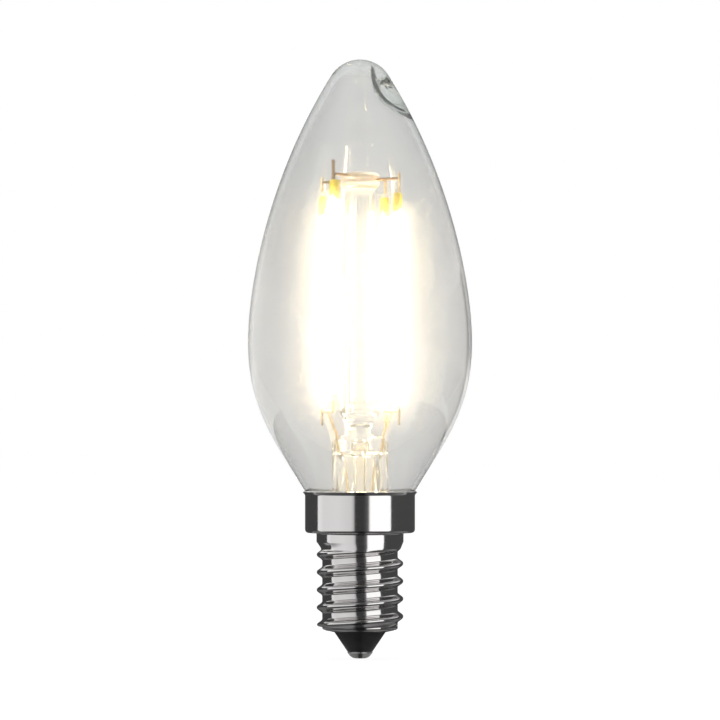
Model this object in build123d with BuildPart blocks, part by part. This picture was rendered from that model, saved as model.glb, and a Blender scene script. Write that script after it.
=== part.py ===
from build123d import *
from math import cos, radians, sin, tan
import os

os.makedirs("parts", exist_ok=True)

# A clear candle bulb with four filaments on a small screw cap, cap down.
# The axis is Z, and the origin is the lowest point of the centre contact.

# Glass envelope
bulb_length = 96.0
envelope_diameter = 35.9
belly_rise = 23.9
glass_wall = 0.7
neck_angle = 29.0
lip_clearance = 0.16
tip_radius = 5.4
tip_wall = 1.6
tip_angle = 32.0
shoulder_pull = 19.0
belly_pull_up = 9.0
belly_pull_down = 12.0
neck_pull = 9.5

# Lens of run glass on the right of the tip
lens_drop = 5.0
lens_offset = 6.2
lens_half_width = 3.3
lens_half_height = 4.4

# Centre contact and insulator
contact_rise = 1.1
contact_diameter = 4.0
solder_flat = 1.2
plate_thickness = 0.35
plate_edge = 0.12
eyelet_diameter = 2.0
eyelet_bore = 1.3
eyelet_length = 1.6
solder_plug = 0.8
insulator_drop = 3.1
insulator_rim = 8.2
insulator_depth = 1.6
insulator_clearance = 0.25

# Screw cap, drawn from one sheet
sheet = 0.3
thread_diameter = 13.84
thread_depth = 0.86
thread_pitch = 2.822
thread_length = 12.0
thread_start_angle = 180.0
foot_height = 0.81
foot_inset = 0.45
foot_round = 0.5
runout = 1.4
plain_length = 1.35
plain_oversize = 0.05
collar_diameter = 17.6
collar_height = 6.65
collar_ease = 0.24
lip_flare = 0.42
lip_height = 0.6
cement_gap = 0.5
cement_margin = 0.9

# Stem
flare_diameter = 9.05
flare_wall = 0.9
flare_height = 10.45
flare_bend_share = 0.8
press_rise = 2.9
press_dome = 1.9
press_thickness = 3.6
press_slit = 1.4
press_shoulder = 3.2
exhaust_diameter = 2.5
exhaust_bore = 1.5
exhaust_tail = 4.25
exhaust_tip = 1.6
exhaust_port = 1.1
port_rise = 0.75
waist_diameter = 3.4
foot_button_diameter = 6.6
foot_button_rise = 3.3
button_edge = 0.6
button_blend = 0.8
column_diameter = 4.5
button_diameter = 6.3
button_height = 2.3
button_round = 0.5

# Wires
wire_diameter = 0.45
weld_gap = 0.1
lead_spread_press = 7.6
lead_spread_flare = 5.8
lead_spread_board = 4.4
lead_run = 5.2
lead_bend = 1.2
crossbar_rise = 3.5

# Filaments
filament_circle = 14.4
filament_angle = -34.0
quarter_angle = 90.0
tip_space = 18.24
strip_width = 0.9
strip_thickness = 0.3
strip_overhang = 0.6
coat_width = 1.6
coat_thickness = 1.2
coat_round = 0.5
tab_width = 0.5
tab_thickness = 0.2
tab_reach = 3.1
tab_margin = 0.25
link_step = 0.6
link_cover = 0.35

# Driver in the cap
board_drop = 0.5
board_edge_gap = 0.9
board_thickness = 0.8
board_foot_gap = 1.0
part_gap = 0.1
chip_length = 4.9
chip_width = 3.4
chip_height = 1.5
chip_spacing = 4.4
chip_offset = 1.9
chip_leg = 0.4
chip_leg_reach = 0.6
chip_leg_sheet = 0.2
chip_leg_pitch = 1.27
chip_leg_pairs = 4
bridge_leg_pitch = 2.54
bridge_leg_pairs = 2
chip_draft = 5.0
can_gap = 0.9
can_height = 6.0
can_round = 0.4
can_leg_spacing = 2.0
fuse_diameter = 2.2
fuse_length = 5.4
fuse_offset = 2.8
fuse_round = 0.5
fuse_lead = 0.9
tail_diameter = 0.5
tail_bend = 0.4
neutral_offset = 3.6
neutral_stand = 1.1
neutral_drop = 1.2
solder_gap = 0.02

# Radii
envelope_r = envelope_diameter / 2
contact_r = contact_diameter / 2
rim_r = insulator_rim / 2
thread_r = thread_diameter / 2
thread_mean_r = thread_r - thread_depth / 2
thread_bore_r = thread_r - thread_depth - sheet
foot_r = thread_mean_r - foot_inset
plain_r = thread_r + plain_oversize
collar_r = collar_diameter / 2
lip_bore_r = collar_r + lip_flare - sheet
neck_r = collar_r - sheet - cement_gap
neck_bore_r = neck_r - glass_wall
flare_r = flare_diameter / 2
exhaust_r = exhaust_diameter / 2
wire_r = wire_diameter / 2
tail_r = tail_diameter / 2
circle_r = filament_circle / 2
tab_seat_r = circle_r + strip_thickness / 2

# Heights up the axis, from the contact to the tip
plate_z = contact_rise - plate_thickness
shell_foot_z = contact_rise + insulator_drop
insulator_top_z = shell_foot_z + sheet + insulator_depth
thread_start_z = shell_foot_z + sheet + foot_height
thread_end_z = thread_start_z + thread_length
plain_start_z = thread_end_z + runout
collar_foot_z = plain_start_z + plain_length
collar_top_z = collar_foot_z + collar_height
neck_foot_z = collar_foot_z + sheet + cement_gap
neck_top_z = collar_top_z - (lip_bore_r - lip_clearance - neck_r) / tan(radians(neck_angle))
belly_z = collar_top_z + belly_rise
exhaust_foot_z = neck_foot_z - exhaust_tail
board_top_z = exhaust_foot_z - board_drop
board_height = board_top_z - insulator_top_z - board_foot_gap
board_mid_z = board_top_z - board_height / 2
press_foot_z = neck_foot_z + flare_height
press_z = press_foot_z + press_rise
press_top_z = press_z + press_dome
crossbar_z = press_top_z + crossbar_rise
coat_foot_z = crossbar_z + wire_r + weld_gap + strip_overhang
button_top_z = bulb_length - tip_space
button_foot_z = button_top_z - button_height
link_upper_z = button_top_z - link_cover - wire_r
link_lower_z = link_upper_z - link_step
coat_top_z = link_upper_z + tab_margin - tab_reach
filament_length = coat_top_z - coat_foot_z

# The front left filament is pushed up against the upper link, and the others hang lower
front_left_rise = link_upper_z - wire_r - weld_gap - strip_overhang - coat_top_z
filaments = [
    ("front_right", filament_angle, 0.0),
    ("back_right", filament_angle + quarter_angle, 0.0),
    ("back_left", filament_angle + 2 * quarter_angle, 0.0),
    ("front_left", filament_angle + 3 * quarter_angle, front_left_rise),
]


def polar(radius, angle, height=0.0):
    """A point at a radius and an angle round the axis."""
    return Vector(radius * cos(radians(angle)), radius * sin(radians(angle)), height)


def save(piece, name):
    """Label a finished piece and write it."""
    piece.label = name
    export_step(piece, f"parts/{name}.step")


# Glass envelope, drawn by one outline outside and inside
def envelope_outline(wall, tip):
    """Half outline of the blown glass, inset by the wall and, at the tip, by the tip's own wall."""
    round_r = tip_radius - wall
    centre = Vector(0, bulb_length - tip - round_r)
    leave = polar(round_r, tip_angle)
    shoulder = centre + leave
    flank = Vector(leave.Y, -leave.X).normalized()
    belly = Vector(envelope_r - wall, belly_z)
    neck = Vector(neck_r - wall, neck_top_z)
    cone = Vector(sin(radians(neck_angle)), cos(radians(neck_angle)))
    CenterArc(centre, round_r, 90, tip_angle - 90)
    Bezier(shoulder, shoulder + flank * shoulder_pull, belly + Vector(0, belly_pull_up), belly)
    Bezier(belly, belly - Vector(0, belly_pull_down), neck + cone * neck_pull, neck)
    foot = Vector(neck.X, neck_foot_z)
    Polyline(neck, foot, Vector(0, neck_foot_z), Vector(0, bulb_length - tip))


with BuildPart() as gas_space:
    with BuildSketch(Plane.XZ):
        with BuildLine():
            envelope_outline(glass_wall, tip_wall)
        make_face()
    revolve(axis=Axis.Z)
    with BuildSketch(Plane((lens_offset, 0, bulb_length - lens_drop), x_dir=(1, 0, 0), z_dir=(0, -1, 0))):
        with BuildLine():
            EllipticalCenterArc((0, 0), lens_half_width, lens_half_height, -90, arc_size=180)
            Line((0, lens_half_height), (0, -lens_half_height))
        make_face()
    revolve(axis=Axis((lens_offset, 0, 0), (0, 0, 1)), mode=Mode.SUBTRACT)

with BuildPart() as glass_envelope:
    with BuildSketch(Plane.XZ):
        with BuildLine():
            envelope_outline(0, 0)
        make_face()
    revolve(axis=Axis.Z)
    add(gas_space.part, mode=Mode.SUBTRACT)
save(glass_envelope.part, "glass_envelope")

# Screw cap. A round single-start thread cut level is a circle set off the axis by half its depth,
# so the rolled wall is a ring carried round a narrow helix and kept level.
thread_end_angle = thread_start_angle + 360 * thread_length / thread_pitch
with BuildPart() as threaded_wall:
    with BuildLine(Plane.XY.offset(thread_start_z)) as thread_line:
        Helix(thread_pitch, thread_length, thread_depth / 2)
    with BuildSketch(Plane.XY.offset(thread_start_z)):
        with Locations((thread_depth / 2, 0)):
            Circle(thread_mean_r)
            Circle(thread_mean_r - sheet, mode=Mode.SUBTRACT)
    sweep(path=thread_line.line, normal=(0, 0, 1))


def thread_blend(inset, z_off, angle, z_plain, plain):
    """Solid between an end of the thread, off the axis, and a plain round."""
    with BuildPart() as blend:
        with BuildSketch(Plane.XY.offset(z_off)):
            with Locations(polar(thread_depth / 2, angle)):
                Circle(thread_mean_r - inset)
        with BuildSketch(Plane.XY.offset(z_plain)):
            Circle(plain - inset)
        loft()
    return blend.part


foot_join_z = shell_foot_z + sheet
with BuildPart() as screw_cap:
    add(threaded_wall.part, rotation=(0, 0, thread_start_angle))
    add(thread_blend(0, thread_start_z, thread_start_angle, foot_join_z, foot_r))
    add(thread_blend(0, thread_end_z, thread_end_angle, plain_start_z, plain_r))
    add(thread_blend(sheet, thread_start_z, thread_start_angle, foot_join_z, foot_r), mode=Mode.SUBTRACT)
    add(thread_blend(sheet, thread_end_z, thread_end_angle, plain_start_z, plain_r), mode=Mode.SUBTRACT)
    with BuildSketch(Plane.XZ):
        with BuildLine():
            mid_r = plain_r - sheet / 2
            wall_r = collar_r - sheet / 2
            step_round = (wall_r - mid_r) * collar_ease
            FilletPolyline(
                (mid_r, plain_start_z),
                (mid_r, collar_foot_z + sheet / 2),
                (wall_r, collar_foot_z + sheet / 2),
                (wall_r, collar_top_z - lip_height),
                (wall_r + lip_flare, collar_top_z),
                radius=[step_round, step_round, lip_height / 2],
            )
        trace(line_width=sheet)
    revolve(axis=Axis.Z)
    with BuildSketch(Plane.XZ):
        with BuildLine():
            bottom = Line((rim_r, shell_foot_z), (foot_r - foot_round, shell_foot_z))
            corner = TangentArc(bottom @ 1, (foot_r, foot_join_z), tangent=(1, 0))
            Polyline(corner @ 1, (rim_r, foot_join_z), bottom @ 0)
        make_face()
    revolve(axis=Axis.Z)
save(screw_cap.part, "screw_cap")

# Centre contact: an eyelet in the insulator, closed by a drop of solder round the live wire
with BuildPart() as contact_plate:
    with BuildSketch(Plane.XZ):
        with BuildLine():
            Polyline(
                (eyelet_bore / 2, plate_z),
                (contact_r - plate_edge, plate_z),
                (contact_r, plate_z + plate_edge),
                (contact_r, contact_rise),
                (eyelet_diameter / 2, contact_rise),
                (eyelet_diameter / 2, contact_rise + eyelet_length),
                (eyelet_bore / 2, contact_rise + eyelet_length),
                close=True,
            )
        make_face()
    revolve(axis=Axis.Z)
save(contact_plate.part, "contact_plate")

with BuildPart() as contact_solder:
    with BuildSketch(Plane.XZ):
        with BuildLine():
            flat = Line((0, 0), (solder_flat / 2, 0))
            dome = TangentArc(flat @ 1, (contact_r - plate_edge, plate_z), tangent=(1, 0))
            Polyline(
                dome @ 1,
                (eyelet_bore / 2, plate_z),
                (eyelet_bore / 2, contact_rise + solder_plug),
                (tail_r, contact_rise + solder_plug),
                (tail_r, plate_z),
                (0, plate_z),
                flat @ 0,
            )
        make_face()
    revolve(axis=Axis.Z)
save(contact_solder.part, "contact_solder")

# Insulator: black glass pressed into the foot of the shell
flange_r = foot_r - sheet - insulator_clearance
with BuildPart() as cap_insulator:
    with BuildSketch(Plane.XZ):
        with BuildLine():
            Polyline(
                (eyelet_diameter / 2, contact_rise),
                (contact_r, contact_rise),
                (rim_r, shell_foot_z),
                (rim_r, foot_join_z),
                (flange_r, foot_join_z),
                (flange_r, insulator_top_z),
                (eyelet_bore / 2, insulator_top_z),
                (eyelet_bore / 2, contact_rise + eyelet_length),
                (eyelet_diameter / 2, contact_rise + eyelet_length),
                close=True,
            )
        make_face()
    revolve(axis=Axis.Z)
save(cap_insulator.part, "cap_insulator")

# Cement between the collar and the glass neck
with BuildPart() as cap_cement:
    with BuildSketch(Plane.XY.offset(neck_foot_z + cement_margin)):
        Circle(collar_r - sheet)
        Circle(neck_r, mode=Mode.SUBTRACT)
    extrude(amount=neck_top_z - neck_foot_z - cement_margin)
save(cap_cement.part, "cap_cement")

# Crossbars: each joins the feet of two filaments, cut off square on the tabs' inner faces
half_quarter = quarter_angle / 2
right_angle = filament_angle + half_quarter
sides = [("right", right_angle), ("left", right_angle + 2 * quarter_angle)]
crossbars = {}
for side, middle in sides:
    spread = (middle - half_quarter, middle + half_quarter)
    ends = [polar(tab_seat_r, angle, crossbar_z) for angle in spread]
    along = (ends[1] - ends[0]).normalized()
    with BuildPart() as crossbar:
        with BuildSketch(Plane(ends[0] - along * coat_width, z_dir=along)):
            Circle(wire_r)
        extrude(amount=(ends[1] - ends[0]).length + 2 * coat_width)
        for end, angle in zip(ends, spread):
            split(bisect_by=Plane(end, z_dir=polar(1, angle)), keep=Keep.BOTTOM)
    crossbars[side] = crossbar.part
    save(crossbar.part, f"crossbar_{side}")

# Lead wires: from the crossbars through the press and the flare to the board's top edge
leads = {}
for side, middle in sides:
    across = 1 if side == "right" else -1
    route = [
        polar(tab_seat_r * cos(radians(half_quarter)), middle, crossbar_z),
        Vector(across * lead_spread_press / 2, 0, press_top_z),
        Vector(across * lead_spread_flare / 2, 0, press_foot_z + press_rise / 3),
        Vector(across * lead_spread_board / 2, 0, press_foot_z + press_rise / 3 - lead_run),
        Vector(across * lead_spread_board / 2, 0, board_top_z),
    ]
    with BuildPart() as lead:
        with BuildLine() as lead_line:
            FilletPolyline(*route, radius=lead_bend)
        with BuildSketch(Plane(route[0], z_dir=lead_line.line % 0)):
            Circle(wire_r)
        sweep()
        add(crossbars[side], mode=Mode.SUBTRACT)
    leads[side] = lead.part
    save(lead.part, f"lead_wire_{side}")

# Exhaust tube, sealed off below the flare
with BuildPart() as exhaust_tube:
    with BuildSketch(Plane.XZ):
        with BuildLine():
            Polyline(
                (exhaust_bore / 2, press_z),
                (exhaust_r, press_z),
                (exhaust_r, exhaust_foot_z + exhaust_tip),
                (exhaust_r / 2, exhaust_foot_z),
                (0, exhaust_foot_z),
                (0, exhaust_foot_z + exhaust_tip),
                (exhaust_bore / 2, exhaust_foot_z + 2 * exhaust_tip),
                close=True,
            )
        make_face()
    revolve(axis=Axis.Z)
save(exhaust_tube.part, "exhaust_tube")


# Stem flare: a tube with its rim sealed to the neck and its top pinched flat round the leads
def jaws(half_gap, half_mouth, mouth_z, gap_z):
    """The space of two flat jaws that close on the tube from the front and the back."""
    with BuildPart() as pair:
        with BuildSketch(Plane.YZ):
            with BuildLine():
                Polyline(
                    (half_mouth, mouth_z),
                    (half_gap, gap_z),
                    (half_gap, press_top_z),
                    (flare_diameter, press_top_z),
                    (flare_diameter, mouth_z),
                    close=True,
                )
            make_face()
            mirror(about=Plane.YZ)
        extrude(amount=flare_diameter, both=True)
    return pair.part


slit_z = press_z - flare_wall
with BuildPart() as flare_hollow:
    with BuildSketch(Plane.XY.offset(press_foot_z)):
        Circle(flare_r - flare_wall)
    extrude(amount=slit_z - press_foot_z)
    add(jaws(press_slit / 2, flare_r - flare_wall, press_foot_z, slit_z), mode=Mode.SUBTRACT)

with BuildPart() as stem_flare:
    with BuildSketch(Plane.XZ):
        with BuildLine():
            FilletPolyline(
                (flare_r - flare_wall / 2, press_z),
                (flare_r - flare_wall / 2, neck_foot_z + flare_wall / 2),
                (neck_bore_r, neck_foot_z + flare_wall / 2),
                radius=(neck_bore_r - flare_r + flare_wall / 2) * flare_bend_share,
            )
        trace(line_width=flare_wall)
        with BuildLine():
            shoulder = RadiusArc((flare_r, press_z), (waist_diameter / 2, press_top_z), -press_shoulder)
            Polyline(
                shoulder @ 1,
                (0, press_top_z),
                (0, press_foot_z),
                (flare_r, press_foot_z),
                shoulder @ 0,
            )
        make_face()
    revolve(axis=Axis.Z)
    add(jaws(press_thickness / 2, flare_r, press_foot_z, press_z), mode=Mode.SUBTRACT)
    add(flare_hollow.part, mode=Mode.SUBTRACT)
    with BuildSketch(Plane.XY.offset(press_foot_z)):
        Circle(exhaust_r)
    extrude(amount=press_rise, mode=Mode.SUBTRACT)
    with BuildSketch(Plane.XY.offset(press_z)):
        Circle(exhaust_bore / 2)
    extrude(amount=port_rise + exhaust_port / 2, mode=Mode.SUBTRACT)
    with BuildSketch(Plane((0, 0, press_z + port_rise), z_dir=(0, -1, 0))):
        Circle(exhaust_port / 2)
    extrude(amount=press_thickness, mode=Mode.SUBTRACT)
    for lead_part in leads.values():
        add(lead_part, mode=Mode.SUBTRACT)
save(stem_flare.part, "stem_flare")

# Links: straight wires through the button, from tab to tab
links = {}
for name, height, angle in (
    ("top_link_lower", link_lower_z, filament_angle),
    ("top_link_upper", link_upper_z, filament_angle + quarter_angle),
):
    with BuildPart() as link:
        with BuildSketch(Plane((0, 0, height), z_dir=polar(1, angle))):
            Circle(wire_r)
        extrude(amount=tab_seat_r, both=True)
    links[name] = link.part
    save(link.part, name)

# Stem column: a glass rod with a trumpet foot and a button at the top
with BuildPart() as stem_column:
    with BuildSketch(Plane.XZ):
        with BuildLine():
            foot_rim_z = press_top_z + foot_button_rise
            base = Line((0, press_top_z), (waist_diameter / 2, press_top_z))
            trumpet = TangentArc(base @ 1, (foot_button_diameter / 2, foot_rim_z), tangent=(0, 1))
            Polyline(
                trumpet @ 1,
                (foot_button_diameter / 2, foot_rim_z + button_edge),
                (column_diameter / 2, foot_rim_z + button_edge + button_blend),
                (column_diameter / 2, button_foot_z - button_blend),
                (button_diameter / 2, button_foot_z),
                (button_diameter / 2, button_top_z),
                (0, button_top_z),
                base @ 0,
            )
        make_face()
    revolve(axis=Axis.Z)
    rims = stem_column.edges().filter_by(GeomType.CIRCLE)
    fillet(rims.filter_by(lambda e: abs(e.radius - button_diameter / 2) < wire_r), button_round)
    for link_part in links.values():
        add(link_part, mode=Mode.SUBTRACT)
save(stem_column.part, "stem_column")


# Filaments: a strip in a phosphor coat, with a metal tab welded to each end
def across_filament(angle, height):
    """Plane across a filament, X along its width and Y outwards."""
    return Plane(polar(circle_r, angle, height), x_dir=polar(1, angle - 90), z_dir=(0, 0, 1))


for name, angle, rise in filaments:
    with BuildPart() as strip:
        with BuildSketch(across_filament(angle, coat_foot_z + rise - strip_overhang)):
            Rectangle(strip_width, strip_thickness)
        extrude(amount=filament_length + 2 * strip_overhang)
    save(strip.part, f"filament_{name}")

    with BuildPart() as coat:
        with BuildSketch(across_filament(angle, coat_foot_z + rise)):
            RectangleRounded(coat_width, coat_thickness, coat_round)
            Rectangle(strip_width, strip_thickness, mode=Mode.SUBTRACT)
        extrude(amount=filament_length)
    save(coat.part, f"phosphor_{name}")

    for end, height in (("foot", coat_foot_z - tab_reach), ("top", coat_top_z)):
        with BuildPart() as tab:
            with BuildSketch(across_filament(angle, height + rise)):
                with Locations((0, (strip_thickness + tab_thickness) / 2)):
                    Rectangle(tab_width, tab_thickness)
            extrude(amount=tab_reach)
        save(tab.part, f"tab_{name}_{end}")

# Driver board, upright in the shell
board_face = board_thickness / 2
with BuildPart() as driver_board:
    with BuildSketch(Plane.XZ.offset(-board_face)):
        with Locations((0, board_mid_z)):
            Rectangle(2 * (thread_bore_r - board_edge_gap), board_height)
    extrude(amount=board_thickness)
save(driver_board.part, "driver_board")


def chip_package(height, leg_pitch, leg_pairs):
    """Flat package on the board's front face, with bent legs along both long sides."""
    with BuildPart() as package:
        with BuildSketch(Plane.XZ.offset(board_face + part_gap)):
            with Locations((-chip_offset, height)):
                Rectangle(chip_length, chip_width)
        extrude(amount=chip_height, taper=chip_draft)
        with BuildSketch(Plane.XZ.offset(board_face)):
            with Locations((-chip_offset, height)):
                with GridLocations(leg_pitch, chip_width + chip_leg_reach, leg_pairs, 2):
                    Rectangle(chip_leg, chip_leg_reach)
        extrude(amount=chip_leg_sheet)
        with BuildSketch(Plane.XZ.offset(board_face)):
            with Locations((-chip_offset, height)):
                with GridLocations(leg_pitch, chip_width, leg_pairs, 2):
                    Rectangle(chip_leg, chip_leg_sheet * 2)
        extrude(amount=chip_height / 2)
    return package.part


save(chip_package(board_mid_z + chip_spacing / 2, bridge_leg_pitch, bridge_leg_pairs), "bridge_rectifier")
save(chip_package(board_mid_z - chip_spacing / 2, chip_leg_pitch, chip_leg_pairs), "driver_chip")

# Smoothing capacitor: a can on the board's back face, its legs bent into the board
can_r = (thread_bore_r - board_face - can_gap) / 2
can_y = board_face + part_gap + can_r
can_foot_z = board_mid_z - can_height / 2
with BuildPart() as smoothing_capacitor:
    with BuildSketch(Plane((0, can_y, can_foot_z))):
        Circle(can_r)
    extrude(amount=can_height)
    fillet(smoothing_capacitor.edges().filter_by(GeomType.CIRCLE), can_round)
    for leg_x in (-can_leg_spacing / 2, can_leg_spacing / 2):
        with BuildLine() as leg_line:
            FilletPolyline(
                (leg_x, can_y, can_foot_z + can_round),
                (leg_x, can_y, can_foot_z - 2 * tail_bend),
                (leg_x, board_face, can_foot_z - 2 * tail_bend),
                radius=tail_bend,
            )
        with BuildSketch(Plane(leg_line.line @ 0, z_dir=leg_line.line % 0)):
            Circle(tail_r)
        sweep(path=leg_line.line)
save(smoothing_capacitor.part, "smoothing_capacitor")

# Fuse resistor on the front face, its top lead bent into the board
fuse_y = -(board_face + part_gap + fuse_diameter / 2)
fuse_foot_z = board_mid_z - fuse_length / 2
with BuildPart() as fuse_resistor:
    with BuildSketch(Plane((fuse_offset, fuse_y, fuse_foot_z))):
        Circle(fuse_diameter / 2)
    extrude(amount=fuse_length)
    fillet(fuse_resistor.edges().filter_by(GeomType.CIRCLE), fuse_round)
    with BuildSketch(Plane((fuse_offset, fuse_y, fuse_foot_z - fuse_lead))):
        Circle(tail_r)
    extrude(amount=fuse_lead + fuse_round)
    with BuildLine() as fuse_line:
        FilletPolyline(
            (fuse_offset, fuse_y, fuse_foot_z + fuse_length - fuse_round),
            (fuse_offset, fuse_y, fuse_foot_z + fuse_length + fuse_lead),
            (fuse_offset, -board_face, fuse_foot_z + fuse_length + fuse_lead),
            radius=tail_bend,
        )
    with BuildSketch(Plane(fuse_line.line @ 0, z_dir=fuse_line.line % 0)):
        Circle(tail_r)
    sweep(path=fuse_line.line)
save(fuse_resistor.part, "fuse_resistor")

# Live wire, from the fuse resistor's lower lead down through the insulator to the contact
with BuildPart() as live_wire:
    with BuildLine() as live_line:
        FilletPolyline(
            (fuse_offset, fuse_y, fuse_foot_z - fuse_lead),
            (fuse_offset, fuse_y, insulator_top_z + 3 * tail_r),
            (0, 0, insulator_top_z + 2 * tail_r),
            (0, 0, plate_z),
            radius=tail_bend,
        )
    with BuildSketch(Plane(live_line.line @ 0, z_dir=live_line.line % 0)):
        Circle(tail_r)
    sweep()
save(live_wire.part, "live_wire")

# Neutral wire, from the board's back face up to the plain part of the shell
neutral_y = board_face + neutral_stand
neutral_turn = Vector(-neutral_offset, neutral_y, plain_start_z + plain_length / 2)
outwards = Vector(neutral_turn.X, neutral_turn.Y).normalized()
neutral_end = outwards * (plain_r - sheet - solder_gap) + Vector(0, 0, neutral_turn.Z)
with BuildPart() as neutral_wire:
    with BuildLine() as neutral_line:
        FilletPolyline(
            (-neutral_offset, board_face, board_top_z - neutral_drop),
            (-neutral_offset, neutral_y, board_top_z - neutral_drop),
            neutral_turn,
            neutral_end,
            radius=tail_bend,
        )
    with BuildSketch(Plane(neutral_line.line @ 0, z_dir=neutral_line.line % 0)):
        Circle(tail_r)
    sweep()
save(neutral_wire.part, "neutral_wire")
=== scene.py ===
import math

import bpy
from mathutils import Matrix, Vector


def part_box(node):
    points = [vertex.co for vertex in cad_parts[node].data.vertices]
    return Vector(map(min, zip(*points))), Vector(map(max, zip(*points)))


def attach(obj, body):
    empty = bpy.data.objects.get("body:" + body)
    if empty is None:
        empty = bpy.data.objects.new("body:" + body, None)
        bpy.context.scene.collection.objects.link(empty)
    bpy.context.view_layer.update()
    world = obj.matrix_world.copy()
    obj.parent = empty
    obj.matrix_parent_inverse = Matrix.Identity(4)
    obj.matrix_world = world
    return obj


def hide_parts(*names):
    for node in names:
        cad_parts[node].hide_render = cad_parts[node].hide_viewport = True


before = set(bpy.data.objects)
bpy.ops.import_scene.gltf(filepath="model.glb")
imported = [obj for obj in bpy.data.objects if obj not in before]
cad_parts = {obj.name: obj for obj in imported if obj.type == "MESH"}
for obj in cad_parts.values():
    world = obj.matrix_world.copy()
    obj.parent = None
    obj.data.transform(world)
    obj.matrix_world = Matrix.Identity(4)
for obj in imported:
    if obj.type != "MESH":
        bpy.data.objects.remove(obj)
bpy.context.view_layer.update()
bpy.context.scene.view_settings.view_transform = "Standard"
bpy.context.scene.cycles.sample_clamp_indirect = 40

# Sizes of the bulb are in millimetres and angles in degrees. Z is its axis, and the photograph looks along +Y.
MM = 0.001
STRAIGHT_ANGLE = 0.05
SHARP_ANGLE = 35.0

# How close points are that count as one place, as lying on one level, or as near, in metres
SAME_PLACE = 1e-7
ON_LEVEL = 2e-7
NEAR = 1e-6

# Glass envelope. A reach is how far a curve keeps its direction.
TIP = 96.0
TIP_R = 5.4
TIP_ANGLE = 32.0
TIP_WALL = 1.6
SHOULDER_REACH = 19.0
SHOULDER_SHARE = 0.2
BELLY = 50.61
BELLY_R = 17.95
BELLY_REACH_UP = 9.0
BELLY_REACH_DOWN = 12.0
NECK_TOP = 25.339
NECK_FOOT = 20.86
NECK_R = 8.0
NECK_ANGLE = 29.0
NECK_REACH = 9.5
GLASS_WALL = 0.7
ENVELOPE_FINENESS = 36
ENVELOPE_STEPS = 180

# Drop of run glass: height of its middle, half its height, half its angle, pull inwards, reach of the pull
DROP_PULLS = (
    (90.8, 2.2, 34, 1.0, 3.2),
    (89.6, 1.2, 28, 1.5, 2.0),
)
DROP_EASED = (90.2, 4.2, 66)
DROP_EASING = 10

# Stem
FLARE_R = 4.525
FLARE_WALL = 0.9
FLARE_BEND = 2.1
PRESS_FOOT = 31.31
PRESS = 34.21
PRESS_TOP = 36.11
PRESS_HALF = 1.8
PRESS_CUTS = 9
TUBE_DROP = 1.9
PORT_DROP = 0.9
PORT_BUBBLE_R = 1.4
PORT_MARGIN = 0.05
WAIST_R = 1.7
FOOT_BUTTON = 39.41
FOOT_BUTTON_R = 3.3
COLUMN_R = 2.25
BUTTON_FOOT = 75.46
BUTTON_TOP = 77.76
BUTTON_R = 3.15
BUTTON_ROUND = 0.7
STEM_FINENESS = 14
STEM_STEPS = 96

# Filaments and their coats
FILAMENT_CIRCLE_R = 7.2
FILAMENT_ANGLE = -34.0
FILAMENT_TURNS = (("front_right", 0), ("back_right", 90), ("back_left", 180), ("front_left", 270))
COAT_THICK = 1.2
COAT_WIDE = 1.6
COAT_ROUND = 0.5
COAT_ROUND_STEPS = 5
COAT_SHARP_ANGLE = 40.0

# Screw cap
THREAD_PITCH = 2.822
THREAD_FOOT = 5.2
THREAD_TOP = 17.45
THREAD_LIFT = 2.488
THREAD_TURNS = 6
CREST_R = 6.92
CREST_HALF = 0.06
CREST_REACH = 0.42
ROOT_R = 6.05
ROOT_HALF = 0.40
ROOT_REACH = 0.72
SHEET = 0.3
PLAIN_R = 6.97
PLAIN_FOOT = 18.71
COLLAR_R = 8.8
COLLAR_FOOT = 20.06
COLLAR_TOP = 26.71
STEP_IN_R = 0.29
STEP_OUT_R = 0.59
LIP_HEIGHT = 0.7
LIP_FLARE = 0.39
SHELL_FOOT = 4.2
SHELL_RIM_R = 4.1
FOOT_RING = 4.95
FOOT_CONE = 1.3
FOOT_RISE = 0.3
SEAM = 0.05
RIM_MERGE = 0.03
RUN_OUT = 0.3
RUN_OUT_MARGIN = 0.01
RUN_OUT_CUTS = 6
RUN_OUT_EASING = 12
CAP_FINENESS = 8
THREAD_FINENESS = 12
CAP_STEPS = 160
CAP_SHARP_ANGLE = 70.0

# Light inside the bulb and what it passes through, with the painted glow on the stem and the painted shade in the
# thread
GLASS_IOR = 1.5
LAMP_LIGHT = (1.0, 0.82, 0.52)
LAMP_POWER = 52.0
YELLOW_END = 3.6
CORE_HALF = 0.1
CORE_FADE = 0.6
CORE_EDGE = 0.1
# Painted glow on the stem glass: its colour, and the heights over which its ramp runs
STEM_LIGHT = (1.0, 0.82, 0.50)
STEM_LIGHT_FOOT = 20.0
STEM_LIGHT_TOP = 80.0
# Painted shade: radii below which the nickel's colour is darkened inside the thread
GROOVE_SHADE_R = 6.1
GROOVE_SHADE_EDGE_R = 6.5


# Drawing and turning
def deselect_all():
    bpy.ops.object.select_all(action="DESELECT")


def edit_all():
    """Open the active piece for editing, with all of it selected."""
    bpy.ops.object.mode_set(mode="EDIT")
    bpy.ops.mesh.select_all(action="SELECT")


def close_edit():
    bpy.ops.object.mode_set(mode="OBJECT")


def select_points(piece, wanted):
    """Open the piece for editing, with only the points selected that the test wants."""
    bpy.ops.object.mode_set(mode="EDIT")
    bpy.ops.mesh.select_mode(type="VERT")
    bpy.ops.mesh.select_all(action="DESELECT")
    close_edit()
    for vertex in piece.data.vertices:
        vertex.select = wanted(vertex)
    bpy.ops.object.mode_set(mode="EDIT")


def out_from_axis(point):
    return math.hypot(point.co.x, point.co.y)


def at(x, z):
    """A point of an outline, out from the axis and up it, in millimetres."""
    return Vector((x * MM, 0.0, z * MM))


def straight(a, b):
    """A straight stroke of an outline."""
    return (a, a.lerp(b, 1 / 3), a.lerp(b, 2 / 3), b)


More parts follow.
